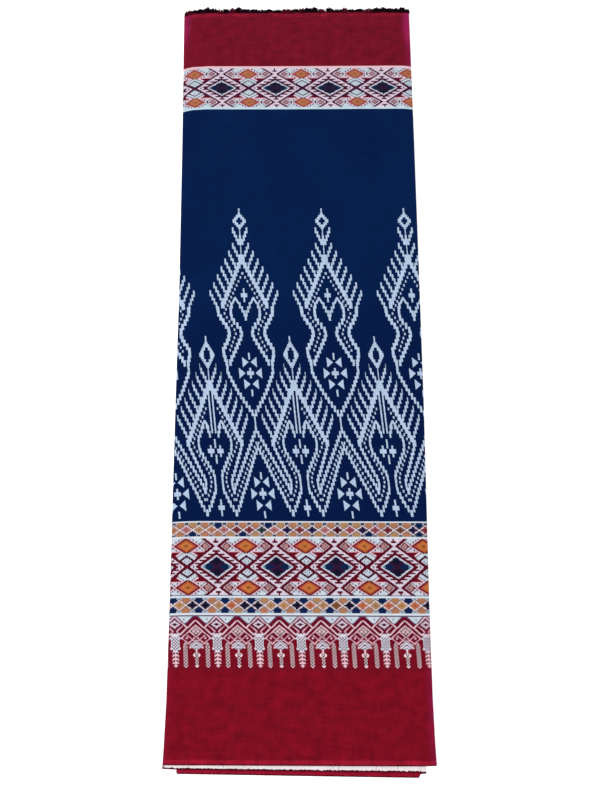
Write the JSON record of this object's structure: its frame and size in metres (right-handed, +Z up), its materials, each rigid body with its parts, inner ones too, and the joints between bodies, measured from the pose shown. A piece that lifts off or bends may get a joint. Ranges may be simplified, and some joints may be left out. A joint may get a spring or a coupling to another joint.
{
  "type": "folded printed cotton cloth",
  "caption": "Printed cotton cloth folded back and forth into a tall narrow panel, with patterned border bands and a frayed selvedge.",
  "frame": {"origin": "bottom centre of the bounding box, on the surface that the cloth lies on", "axes": "+Z up from the surface to the printed face, +Y along the fold lines from the plain hem edge to the frayed waist edge, +X across the panel to the right"},
  "size_m": [0.3426, 1.0724, 0.0111],
  "materials": {
    "printed_cotton": "matt plain weave, printed",
    "dark_yarn": "matt frayed yarn"
  },
  "bodies": {
    "root": {"cloth": "printed_cotton", "selvedge_fringe": "dark_yarn"}
  },
  "joints": []
}
